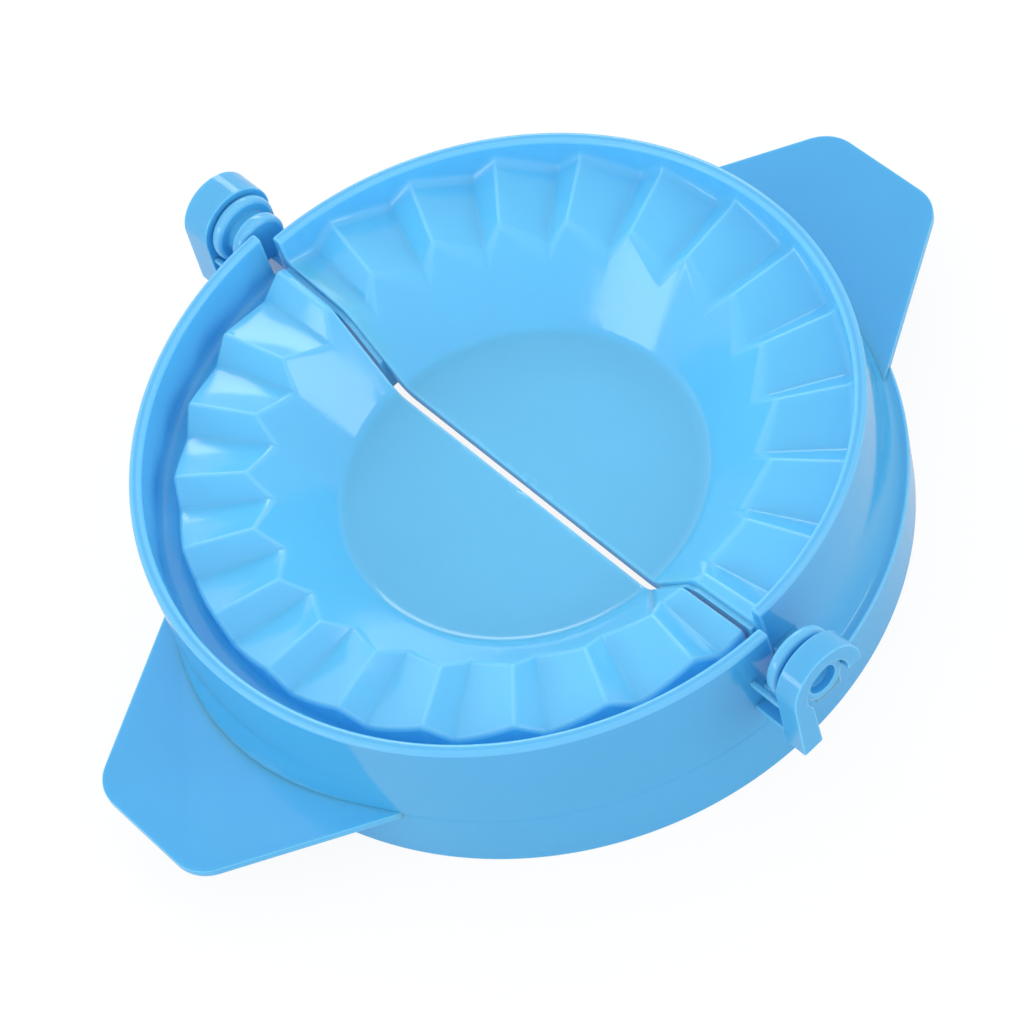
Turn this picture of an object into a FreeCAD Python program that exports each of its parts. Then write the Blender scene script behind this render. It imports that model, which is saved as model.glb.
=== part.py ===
import FreeCAD, Part
import math
import os

# Fold-over dumpling press, lying open: two moulded halves on one hinge line.
# Millimetres. The base plane is z = 0, the hinge axis runs along X,
# the front half lies at -Y and the back half at +Y.

# Overall shape
RIM_HEIGHT = 22.8       # base plane to the top of both rims
WALL = 1.5              # general moulded wall
SPLIT_GAP = 1.0         # clear slot between the two halves
TIER_Z = 8.8            # top face of the lower tier and of the wings
TIER_STEP = 0.25        # lower tier outside the front rim

# Rims: the back rim folds into the channel behind the front rim
FRONT_RIM_R = 43.4      # outer radius of the front rim
RIM_T = 1.5             # thickness of both rims
RIM_ROUND = 0.5         # rounding of the rim tops
RIM_CLEAR = 0.3         # front rim inside to the leaning back wall when closed
TEETH_CLEAR = 0.6       # back rim inside to front teeth
CHANNEL_CLEAR = 0.9     # back rim top to channel floor when closed
BACK_DRAFT = 1.3        # how far the back wall leans out from its rim to the lower tier

# Bowl
BOWL_DEPTH = 13.3       # rim top down to the bowl's floor
BOWL_SLOPE = 47.2       # degrees from level of the bowl's side
BOWL_ROUND = 3.0        # rounding between floor and side

# Pleating teeth, the same pattern on both halves, a quarter pitch off the split
TEETH = 12              # ridges on each half
TEETH_LENGTH = 8.45     # length of a front ridge, from its outer end to the bowl's side
TEETH_RISE = 1.15       # half of the height from valley to ridge
TEETH_FALL = 6.0        # degrees that ridges and valleys fall towards the bowl
DOUGH_GAP = 0.8         # upright gap between the closed teeth at their outer ends

# Hinge
AXIS_DROP = 3.15        # rim top down to the hinge axis
HINGE_STANDOFF = 2.05   # lower tier to the inner face of the hinge disc
DISC_R = 4.3            # round shoulder that carries the pin
DISC_T = 1.5
DISC_GAP = 0.8          # disc to hook along the axis
PIN_R = 2.8
PIN_CLEAR = 0.2         # radial running clearance of the pin in its hook
PIN_RECESS = 0.2        # pin end below the hook's outer face
DIMPLE_R = 1.0          # moulded dimple in the pin's end
DIMPLE_DEPTH = 0.8
HOOK_WALL = 1.9         # hook thickness round the pin
HOOK_WIDTH = 4.5        # hook length along the axis
FREE_ARM_DROP = 0.75    # hinge axis down to the level end of the hook's free arm
HOOK_LIP_END = 32.0     # degrees below level where the snap lip ends
HOOK_ROUND = 0.6        # rounding of the hook's outer edges
LEG_T = 1.5             # leg that carries the hook
LEG_DROP = 8.2          # hinge axis down to the leg's end
LIP_DROP = 2.6          # hinge axis down to the foot of the snap lip
WEB_T = 0.8             # thin web from skirt to leg
WEB_SET_BACK = 0.1      # web's outer face behind the leg's outer face
WEB_CLEAR = 0.27        # disc to web
WEB_DROP = 6.6          # hinge axis down to the web's flange
FLANGE_T = 0.8
ARM_CLEAR = 0.45        # arm of the disc to the front rim when closed
ARM_HEIGHT = 5.4        # height of that arm

# Wings
WING_LENGTH = 15.55     # lower tier to the tip of a wing
WING_TIP_HALF = 8.7     # half width of the tip before its corners are rounded
WING_TAPER = 30.0       # degrees of each side from the Y axis
WING_CORNER = 5.0
WING_T = 1.7
WING_EDGE_ROUND = 0.6

# Largest share of a wall that a rounding takes
ROUND_LIMIT = 0.4

# Worked out from the sizes above
AXIS_Z = RIM_HEIGHT - AXIS_DROP
BASE_R = FRONT_RIM_R + TIER_STEP
FRONT_RIM_IN_R = FRONT_RIM_R - RIM_T
LEAN = BACK_DRAFT / (RIM_HEIGHT - TIER_Z)
BACK_RIM_R = FRONT_RIM_IN_R - RIM_CLEAR - LEAN * 2 * AXIS_DROP
BACK_RIM_IN_R = BACK_RIM_R - RIM_T
FRONT_TEETH_R = BACK_RIM_IN_R - TEETH_CLEAR
CHANNEL_Z = 2 * AXIS_Z - RIM_HEIGHT - CHANNEL_CLEAR
TEETH_MID_Z = AXIS_Z - DOUGH_GAP / 2
HALF_PITCH = 180.0 / TEETH / 2
FALL = math.tan(math.radians(TEETH_FALL))
RIDGE_END_Z = TEETH_MID_Z + TEETH_RISE - TEETH_LENGTH * FALL
BOWL_FLOOR_Z = RIM_HEIGHT - BOWL_DEPTH
BOWL_TAN = math.tan(math.radians(BOWL_SLOPE))
BOWL_FLOOR_R = FRONT_TEETH_R - TEETH_LENGTH - (RIDGE_END_Z - BOWL_FLOOR_Z) / BOWL_TAN
BASE_IN_R = BASE_R - WALL
TIER_UNDER_Z = TIER_Z - WALL
DISC_X = BASE_R + HINGE_STANDOFF
HOOK_X = DISC_X + DISC_T + DISC_GAP
HOOK_R = PIN_R + PIN_CLEAR + HOOK_WALL
BORE_R = PIN_R + PIN_CLEAR
WEB_Y = HOOK_R - WEB_SET_BACK - WEB_T
WEB_TOP_DROP = math.sqrt(max(0, (DISC_R + WEB_CLEAR) ** 2 - WEB_Y ** 2))
ARM_TOP_Z = AXIS_Z - AXIS_DROP - ARM_CLEAR
WING_REACH = BASE_R + WING_LENGTH

# Margins of cutting shapes beyond what they cut
OVER = 5.0
OVERLAP = 0.5           # how far joined shapes run into each other
TINY = 1e-4             # for telling which edges lie where


def vector(x, y, z):
    return FreeCAD.Vector(x, y, z)


def turned(profile):
    """Solid of revolution about Z from (radius, height) corners."""
    corners = [vector(r, 0, z) for r, z in profile]
    face = Part.Face(Part.makePolygon(corners + corners[:1]))
    return face.revolve(vector(0, 0, 0), vector(0, 0, 1), 360)


def block(x0, x1, y0, y1, z0, z1):
    """Upright box between two corners."""
    return Part.makeBox(x1 - x0, y1 - y0, z1 - z0, vector(x0, y0, z0))


def both_ends(shape):
    """The shape and its mirror image at the other end of the hinge line."""
    return [shape, shape.mirror(vector(0, 0, 0), vector(1, 0, 0))]


def circle_edges(shape, height):
    """Edges of a turned solid that lie at one height."""
    return [e for e in shape.Edges
            if abs(e.BoundBox.ZMin - height) < TINY and abs(e.BoundBox.ZMax - height) < TINY]


def tooth_height(index, radius):
    """Height of a valley (even index) or ridge (odd index) at a radius."""
    middle = TEETH_MID_Z - (FRONT_TEETH_R - radius) * FALL
    return middle + (TEETH_RISE if index % 2 else -TEETH_RISE)


def skin_drop():
    """Upright drop that leaves one wall thickness under a sloping tooth flank."""
    flank_run = math.radians(HALF_PITCH) * (BOWL_FLOOR_R + BASE_R) / 2
    return WALL * math.hypot(1, 2 * TEETH_RISE / flank_run)


def hollow_top():
    """Height under the lowest point of the teeth's skin."""
    return tooth_height(0, BOWL_FLOOR_R) - skin_drop()


def toothed_block(outer_r, drop):
    """Solid under the toothed surface, lowered by drop, from the bowl's side out to outer_r."""
    inner_r, far_r = BOWL_FLOOR_R / 2, outer_r + OVER
    sections = []
    for index in range(2 * TEETH + 2):
        angle = math.radians((index - 0.5) * HALF_PITCH)
        along = vector(math.cos(angle), math.sin(angle), 0)
        corners = [along * radius + vector(0, 0, height) for radius, height in (
            (inner_r, -OVER), (far_r, -OVER),
            (far_r, tooth_height(index, far_r) - drop), (inner_r, tooth_height(index, inner_r) - drop))]
        sections.append(Part.makePolygon(corners + corners[:1]))
    ridged = Part.makeLoft(sections, True, True)
    core = Part.makeCylinder(BOWL_FLOOR_R, hollow_top() - drop + OVER, vector(0, 0, -OVER))
    limit = Part.makeCylinder(outer_r, RIM_HEIGHT + 2 * OVER, vector(0, 0, -OVER))
    return ridged.common(limit).fuse(core)


def bowl_space(grow):
    """Space above the bowl's floor and side, grown outwards by grow."""
    floor_z = BOWL_FLOOR_Z - grow
    floor_r = BOWL_FLOOR_R + grow * math.tan(math.radians(BOWL_SLOPE / 2))
    top_z = RIM_HEIGHT + OVER
    top_r = floor_r + (top_z - floor_z) / BOWL_TAN
    space = turned([(0, floor_z), (floor_r, floor_z), (top_r, top_z), (0, top_z)])
    return space.makeFillet(BOWL_ROUND + grow, circle_edges(space, floor_z))


def rounded_rim(ring):
    """The ring with both edges of its rim top rounded."""
    return ring.makeFillet(min(RIM_ROUND, ROUND_LIMIT * RIM_T), circle_edges(ring, RIM_HEIGHT))


def front_ring():
    """Front skirt, channel floor and rim, as a full turn."""
    ring = turned([(FRONT_TEETH_R - WALL, 0), (BASE_R, 0), (BASE_R, TIER_Z), (FRONT_RIM_R, TIER_Z),
                   (FRONT_RIM_R, RIM_HEIGHT), (FRONT_RIM_IN_R, RIM_HEIGHT),
                   (FRONT_RIM_IN_R, CHANNEL_Z), (FRONT_TEETH_R - WALL, CHANNEL_Z)])
    return rounded_rim(ring)


def back_wall_r(height):
    """Outer radius of the leaning back wall at a height."""
    return BACK_RIM_R + LEAN * (RIM_HEIGHT - height)


def back_ring():
    """Back skirt, ledge and leaning wall up to the rim, as a full turn."""
    ring = turned([(BACK_RIM_IN_R, 0), (BASE_R, 0), (BASE_R, TIER_Z),
                   (back_wall_r(TIER_Z), TIER_Z), (BACK_RIM_R, RIM_HEIGHT), (BACK_RIM_IN_R, RIM_HEIGHT)])
    return rounded_rim(ring)


def front_hollow():
    """Hollow under the front channel and inside its skirt."""
    under_channel = min(CHANNEL_Z - WALL, hollow_top())
    return turned([(0, -OVER), (BASE_IN_R, -OVER), (BASE_IN_R, TIER_UNDER_Z),
                   (FRONT_RIM_R - WALL, TIER_UNDER_Z), (FRONT_RIM_R - WALL, under_channel),
                   (0, under_channel)])


def back_hollow():
    """Hollow inside the back skirt and its leaning wall."""
    top = hollow_top()
    return turned([(0, -OVER), (BASE_IN_R, -OVER), (BASE_IN_R, TIER_UNDER_Z),
                   (back_wall_r(TIER_UNDER_Z) - WALL, TIER_UNDER_Z), (back_wall_r(top) - WALL, top),
                   (0, top)])


def half_shell(teeth_r, ring, hollow, under_r):
    """Moulded shell of one half, lying at +Y."""
    solid = toothed_block(teeth_r, 0).fuse(ring).cut(bowl_space(0))
    under = toothed_block(under_r, skin_drop()).fuse(hollow).cut(bowl_space(WALL))
    below = block(-2 * BASE_R, 2 * BASE_R, -2 * BASE_R, 2 * BASE_R, -2 * OVER, 0)
    keep_off = block(-2 * BASE_R, 2 * BASE_R, -2 * BASE_R, SPLIT_GAP / 2, -OVER, RIM_HEIGHT + OVER)
    return solid.cut(under).cut(below).cut(keep_off)


def wing():
    """Tapered finger wing at +Y, its root in the lower tier."""
    root_y = BASE_IN_R / 2
    root_half = WING_TIP_HALF + math.tan(math.radians(WING_TAPER)) * (WING_REACH - root_y)
    bottom_z = TIER_Z - WING_T
    corners = [vector(-root_half, root_y, bottom_z), vector(root_half, root_y, bottom_z),
               vector(WING_TIP_HALF, WING_REACH, bottom_z), vector(-WING_TIP_HALF, WING_REACH, bottom_z)]
    plate = Part.Face(Part.makePolygon(corners + corners[:1])).extrude(vector(0, 0, WING_T))
    tips = [e for e in plate.Edges
            if abs(e.BoundBox.YMin - WING_REACH) < TINY and e.BoundBox.ZLength > WING_T / 2]
    plate = plate.makeFillet(WING_CORNER, tips)
    rims = [e for e in plate.Edges if e.BoundBox.ZLength < TINY and e.BoundBox.YMax > root_y + TINY]
    plate = plate.makeFillet(min(WING_EDGE_ROUND, ROUND_LIMIT * WING_T), rims)
    inside = Part.makeCylinder(BASE_R - WALL / 2, 2 * RIM_HEIGHT, vector(0, 0, -OVER))
    return plate.cut(inside)


def on_axis(angle, radius):
    """Point across the hinge axis, at an angle from level towards this half's own side."""
    turn = math.radians(angle)
    return vector(HOOK_X, radius * math.cos(turn), AXIS_Z + radius * math.sin(turn))


def hook():
    """Hook over the pin, its leg on this half's own side."""
    leg_in = HOOK_R - LEG_T
    arm_out = on_axis(180 + math.degrees(math.asin(FREE_ARM_DROP / HOOK_R)), HOOK_R)
    arm_in = on_axis(180 + math.degrees(math.asin(FREE_ARM_DROP / BORE_R)), BORE_R)
    lip = on_axis(-HOOK_LIP_END, BORE_R)
    outer = Part.Arc(arm_out, on_axis(90, HOOK_R), on_axis(0, HOOK_R)).toShape()
    bore = Part.Arc(lip, on_axis(90, BORE_R), arm_in).toShape()
    leg = Part.makePolygon([on_axis(0, HOOK_R), vector(HOOK_X, HOOK_R, AXIS_Z - LEG_DROP),
                            vector(HOOK_X, leg_in, AXIS_Z - LEG_DROP),
                            vector(HOOK_X, leg_in, AXIS_Z - LIP_DROP), lip])
    end = Part.makePolygon([arm_in, arm_out])
    outline = Part.Wire(Part.__sortEdges__([outer, bore] + leg.Edges + end.Edges))
    solid = Part.Face(outline).extrude(vector(HOOK_WIDTH, 0, 0))
    face_x = HOOK_X + HOOK_WIDTH
    rounded = [e for e in solid.Edges if abs(e.BoundBox.XMin - face_x) < TINY
               and abs(e.BoundBox.YMax - HOOK_R) < TINY and e.BoundBox.ZMax > AXIS_Z - OVERLAP]
    return solid.makeFillet(min(HOOK_ROUND, ROUND_LIMIT * min(HOOK_WALL, LEG_T)), rounded)


def hook_bracket():
    """Hook with the web and flange that tie its leg to the front skirt."""
    root_x = FRONT_RIM_R - WALL / 2
    end_x = HOOK_X + OVERLAP
    flange_z = AXIS_Z - WEB_DROP
    web = block(root_x, end_x, WEB_Y, WEB_Y + WEB_T, flange_z, AXIS_Z - WEB_TOP_DROP)
    flange = block(root_x, end_x, WEB_Y, HOOK_R, flange_z - FLANGE_T, flange_z)
    return hook().fuse([web, flange])


def pin_bracket():
    """Pin, its disc and the arm that ties the disc to the back wall."""
    along = vector(1, 0, 0)
    disc_end = DISC_X + DISC_T
    pin_end = HOOK_X + HOOK_WIDTH - PIN_RECESS
    disc = Part.makeCylinder(DISC_R, DISC_T, vector(DISC_X, 0, AXIS_Z), along)
    pin = Part.makeCylinder(PIN_R, pin_end - DISC_X, vector(DISC_X, 0, AXIS_Z), along)
    dimple = Part.makeCylinder(DIMPLE_R, DIMPLE_DEPTH, vector(pin_end - DIMPLE_DEPTH, 0, AXIS_Z), along)
    near_y = SPLIT_GAP / 2
    arm_bottom = ARM_TOP_Z - ARM_HEIGHT
    arm = block(BACK_RIM_R, disc_end, near_y, DISC_R, arm_bottom, ARM_TOP_Z)
    tail = block(DISC_X, disc_end, near_y, DISC_R, arm_bottom, AXIS_Z)
    return pin.fuse([disc, arm, tail]).cut(dimple)


def front_half():
    """Front half: outer rim with its channel, wing and two snap hooks."""
    shell = half_shell(FRONT_TEETH_R, front_ring(), front_hollow(), FRONT_TEETH_R - WALL)
    half = shell.fuse([wing()] + both_ends(hook_bracket())).removeSplitter()
    half.rotate(vector(0, 0, 0), vector(0, 0, 1), 180)
    return half


def back_half():
    """Back half: inner rim, wing and two hinge pins."""
    shell = half_shell(BACK_RIM_IN_R + OVERLAP, back_ring(), back_hollow(), BACK_RIM_R - WALL)
    return shell.fuse([wing()] + both_ends(pin_bracket())).removeSplitter()


os.makedirs("parts", exist_ok=True)
for name, shape in (("front_half", front_half()), ("back_half", back_half())):
    box = shape.BoundBox
    print(name, "solids", len(shape.Solids), "valid", shape.isValid(), "cm3", round(shape.Volume / 1000, 2),
          "size", round(box.XLength, 2), round(box.YLength, 2), round(box.ZLength, 2))
    shape.exportStep("parts/" + name + ".step")
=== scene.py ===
"""Fold-over dumpling press in sky-blue moulded plastic, lying open on a pale floor."""

import logging
import math
from collections.abc import Callable, Iterable
from dataclasses import dataclass, field
from enum import Enum

import bmesh
import bpy
import numpy as np
from mathutils import Matrix, Vector


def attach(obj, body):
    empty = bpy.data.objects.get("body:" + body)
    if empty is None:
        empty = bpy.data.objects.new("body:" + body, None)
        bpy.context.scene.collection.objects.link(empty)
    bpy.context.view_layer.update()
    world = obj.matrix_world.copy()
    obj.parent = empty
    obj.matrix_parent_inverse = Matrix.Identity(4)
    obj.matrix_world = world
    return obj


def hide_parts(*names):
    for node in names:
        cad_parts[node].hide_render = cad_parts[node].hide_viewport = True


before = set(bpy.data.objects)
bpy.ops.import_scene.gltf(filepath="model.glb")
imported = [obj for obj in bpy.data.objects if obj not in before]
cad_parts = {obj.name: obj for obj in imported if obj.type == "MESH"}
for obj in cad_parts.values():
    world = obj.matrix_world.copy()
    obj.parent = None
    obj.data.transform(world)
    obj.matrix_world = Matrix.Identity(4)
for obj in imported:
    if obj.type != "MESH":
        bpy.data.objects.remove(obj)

LOG = logging.getLogger("dumpling_press")
MM = 0.001
QUARTER_TURN = math.pi / 2
# Mesh mark for a painted highlight along sharply bent outward edges.
HIGHLIGHT_ATTRIBUTE = "thin_edge"
# Mesh mark for painted light that makes the bowl's inside brighter than the outside.
BOWL_LIGHT_ATTRIBUTE = "bowl_inside"
# Mesh mark for painted light on the bowl's floor.
FLOOR_LIGHT_ATTRIBUTE = "bowl_floor"
POLE_STEPS = (0.0, 0.3, 1.2)
FLOOR_RADII = (4, 10, 16)
CREST_STEPS = (-2.5, -1.5, -1, -0.5, 0, 0.5, 1, 1.5, 2.5)
END_STEPS = (0, 0.12, 0.26, 0.42, 0.62, 0.8, 1.1)
COLUMNS_TO_END = 32
END_CLEAR = 1.3
LEAST_APART = 10

BMesh = bmesh.types.BMesh
Tree = bpy.types.NodeTree
Socket = bpy.types.NodeSocket
Triple = tuple[float, float, float]
Row = Callable[[np.ndarray], tuple[np.ndarray, np.ndarray]]


class Half(Enum):
    """The two mouldings, by the name of their body and node."""

    FRONT = "front_half"
    BACK = "back_half"


class Channel(Enum):
    """Sockets of the shared plastic surface group."""

    BASE = "Outside Colour"
    BOWL = "Bowl Colour"
    FLOOR = "Floor Colour"
    THIN = "Thin Edge Colour"
    SCALE = "Detail Scale"
    COLOUR = "Colour"
    ROUGHNESS = "Roughness"
    HEIGHT = "Height"


@dataclass(frozen=True)
class PressSizes:
    """Sizes that both halves share, in millimetres, in the frame of the CAD model."""

    rim_height: float = 22.8
    wall: float = 1.5
    split_gap: float = 1.0
    tier_z: float = 8.8
    tier_step: float = 0.25
    front_rim_r: float = 43.4
    rim_t: float = 1.5
    rim_round: float = 0.55
    rim_clear: float = 0.3
    teeth_clear: float = 0.6
    channel_clear: float = 0.9
    back_draft: float = 1.3
    bowl_depth: float = 13.3
    bowl_slope: float = 47.2
    bowl_round: float = 3.0
    teeth: int = 12
    teeth_length: float = 8.45
    teeth_rise: float = 1.15
    teeth_fall: float = 6.0
    crest_round: float = 0.02
    drop_share: float = 0.3
    facet_bow: float = 1.25
    rim_fillet: float = 1.3
    front_draft: float = 0.18
    wing_fillet: float = 4.0
    wing_fillet_reach: float = 1.4
    wing_half_angle: float = 27.0
    flare_height: float = 6.1
    ledge_z: float = 8.2
    ledge_r: float = 43.95
    wall_lean: float = 0.04
    dough_gap: float = 1.0
    axis_drop: float = 3.15
    edge_round: float = 0.3
    tooth_end_round: float = 0.6
    corner_round: float = 1.0

    @property
    def axis_z(self) -> float:
        """Height of the hinge axis."""
        return self.rim_height - self.axis_drop

    @property
    def base_r(self) -> float:
        """Outer radius of the lower tier."""
        return self.front_rim_r + self.tier_step

    @property
    def lean(self) -> float:
        """How far the back wall leans out for each millimetre down."""
        return self.back_draft / (self.rim_height - self.tier_z)

    @property
    def back_rim_r(self) -> float:
        """Outer radius of the back rim's top."""
        return self.front_rim_r - self.rim_t - self.rim_clear - self.lean * 2 * self.axis_drop

    @property
    def front_teeth_r(self) -> float:
        """Radius of the outer ends of the front teeth."""
        return self.back_rim_r - self.rim_t - self.teeth_clear

    @property
    def channel_z(self) -> float:
        """Floor of the channel that takes the back rim."""
        return 2 * self.axis_z - self.rim_height - self.channel_clear

    @property
    def floor_z(self) -> float:
        """Top face of the bowl's floor."""
        return self.rim_height - self.bowl_depth

    @property
    def floor_r(self) -> float:
        """Radius where the bowl's floor and side would meet without rounding."""
        ridge_end = self.axis_z - self.dough_gap / 2 + self.teeth_rise - self.teeth_length * self.fall
        return self.front_teeth_r - self.teeth_length - (ridge_end - self.floor_z) / self.slope

    @property
    def slope(self) -> float:
        """Rise of the bowl's side for each millimetre outwards."""
        return math.tan(math.radians(self.bowl_slope))

    @property
    def fall(self) -> float:
        """Rise of the teeth for each millimetre outwards."""
        return math.tan(math.radians(self.teeth_fall))

    @property
    def pitch(self) -> float:
        """Angle from ridge to ridge, in radians."""
        return math.pi / self.teeth

    @property
    def skin_drop(self) -> float:
        """Upright drop that leaves one wall under the steep flank of a tooth."""
        flank = self.pitch * self.drop_share * (self.floor_r + self.base_r) / 2
        return self.wall * math.hypot(1, 2 * self.teeth_rise / flank)


@dataclass(frozen=True)
class TeethPattern:
    """Where one half's teeth stand, in degrees, and how soft their inner edge is, in millimetres."""

    turn: float
    spread: float
    ridge_blend: float
    valley_blend: float
    first_ridge: float = 0.25

    def count(self, theta: np.ndarray, pitch: float) -> np.ndarray:
        """Angles as numbers of teeth from the first ridge."""
        even = QUARTER_TURN + (theta - QUARTER_TURN - math.radians(self.turn)) / self.spread
        return even / pitch - self.first_ridge

    def angle(self, count: np.ndarray, pitch: float) -> np.ndarray:
        """Angles of places given as numbers of teeth from the first ridge."""
        even = (count + self.first_ridge) * pitch
        return QUARTER_TURN + math.radians(self.turn) + (even - QUARTER_TURN) * self.spread


@dataclass(frozen=True)
class BowlSkin:
    """One skin of the bowl and its teeth: the upper face, or the lower face one wall further down."""

    sizes: PressSizes
    pattern: TeethPattern
    pole: float
    grow: float = 0.0
    drop: float = 0.0

    @property
    def floor_z(self) -> float:
        """Height of this skin's floor."""
        return self.sizes.floor_z - self.grow

    @property
    def floor_r(self) -> float:
        """Radius of this skin's corner between floor and side."""
        return self.sizes.floor_r + self.grow * math.tan(math.radians(self.sizes.bowl_slope / 2))

    def saw(self, count: np.ndarray) -> np.ndarray:
        """Sharp saw: a short straight drop behind each ridge, then a long bowed climb.

        Args:
            count: Places as numbers of teeth from the first ridge.

        Returns:
            The saw from -1 in a valley to 1 on a ridge.
        """
        s = self.sizes
        after = count - np.floor(count)
        climb = np.maximum(after - s.drop_share, 0) / (1 - s.drop_share)
        return np.where(after < s.drop_share, 1 - 2 * after / s.drop_share, 2 * climb ** s.facet_bow - 1)

    def wave(self, theta: np.ndarray) -> np.ndarray:
        """The saw with its ridges and valleys rounded.

        Args:
            theta: Angles about the bowl's middle.

        Returns:
            The wave at each angle.
        """
        count = self.pattern.count(theta, self.sizes.pitch)
        steps = np.linspace(-self.sizes.crest_round, self.sizes.crest_round, 7)
        return np.mean([self.saw(count + step) for step in steps], axis=0)

    def blend(self, theta: np.ndarray) -> np.ndarray:
        """Softness of the edge between side and teeth, from ridge to valley."""
        share = (1 - self.wave(theta)) / 2
        return self.pattern.ridge_blend + (self.pattern.valley_blend - self.pattern.ridge_blend) * share

    def teeth_z(self, radius: np.ndarray, theta: np.ndarray) -> np.ndarray:
        """Height of the toothed face.

        Args:
            radius: Distances from the bowl's axis.
            theta: Angles about the bowl's axis.

        Returns:
            The heights.
        """
        s = self.sizes
        middle = s.axis_z - s.dough_gap / 2 - self.drop - (s.front_teeth_r - radius) * s.fall
        return middle + s.teeth_rise * self.wave(theta)

    def side_z(self, radius: np.ndarray) -> np.ndarray:
        """Height of the bowl's sloping side at a radius."""
        return self.floor_z + (radius - self.floor_r) * self.sizes.slope

    def crease_r(self, theta: np.ndarray) -> np.ndarray:
        """Radius where the bowl's side meets the teeth at an angle."""
        start = self.teeth_z(np.zeros_like(theta), theta) - self.floor_z
        return (start + self.floor_r * self.sizes.slope) / (self.sizes.slope - self.sizes.fall)

    def top_z(self, radius: np.ndarray, theta: np.ndarray) -> np.ndarray:
        """Lower of side and teeth, with the edge between them rounded.

        Args:
            radius: Distances from the bowl's axis.
            theta: Angles about the bowl's axis.

        Returns:
            The heights.
        """
        side = self.side_z(radius)
        teeth = self.teeth_z(radius, theta)
        soft = self.blend(theta)
        near = np.maximum(soft - np.abs(side - teeth), 0) / soft
        return np.minimum(side, teeth) - near * near * soft / 4

    def floor_rows(self) -> list[Row]:
        """Section of the floor.

        Returns:
            Rows from the middle of the floor to the top of its rounded corner.
        """
        s = self.sizes
        half_turn = math.radians(s.bowl_slope)
        round_r = s.bowl_round + self.grow
        flat_r = self.floor_r - round_r * math.tan(half_turn / 2)
        radii = [self.pole + step for step in POLE_STEPS] + list(FLOOR_RADII)
        rows = [fixed_row(r, self.floor_z) for r in radii]
        for turn in np.linspace(0, half_turn, 7):
            rows.append(fixed_row(flat_r + round_r * math.sin(turn),
                                  self.floor_z + round_r * (1 - math.cos(turn))))
        return rows

    def side_rows(self, outer_r: float) -> list[Row]:
        """Rows up the bowl's side, over the rounded edge and out along the teeth.

        Args:
            outer_r: Radius of the last row.

        Returns:
            The rows, from the floor outwards.
        """
        s = self.sizes
        turn = math.radians(s.bowl_slope)
        side_from = self.floor_r + (s.bowl_round + self.grow) * math.tan(turn / 2) * math.cos(turn)

        def soft(theta: np.ndarray) -> np.ndarray:
            """Half width of the blend between side and teeth."""
            return self.blend(theta) / (s.slope - s.fall)

        def row(place: Callable[[np.ndarray], np.ndarray]) -> Row:
            """A row at a radius that follows the crease."""
            return lambda theta: (place(theta), self.top_z(place(theta), theta))

        def along(start: float, share: float, side: int) -> Row:
            """A row part of the way from a radius to one side of the blend."""
            return row(lambda t: start + share * (self.crease_r(t) + side * soft(t) - start))

        rows = [along(side_from, share, -1) for share in np.linspace(0, 1, 6)[1:-1]]
        for share in np.linspace(-1, 1, 9):
            rows.append(row(lambda t, k=share: self.crease_r(t) + k * soft(t)))
        return rows + [along(outer_r, 1 - share, 1) for share in np.linspace(0, 1, 7)[1:]]


def fixed_row(radius: float, height: float) -> Row:
    """A row of the section that is the same at every angle."""
    return lambda theta: (np.full_like(theta, radius), np.full_like(theta, height))


def rounded_rows(corners: list[Triple]) -> list[Row]:
    """Fixed rows round each inner corner of a line of radius, height and rounding."""
    return [fixed_row(p.x, p.y) for p in rounded_line(corners)]


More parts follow.
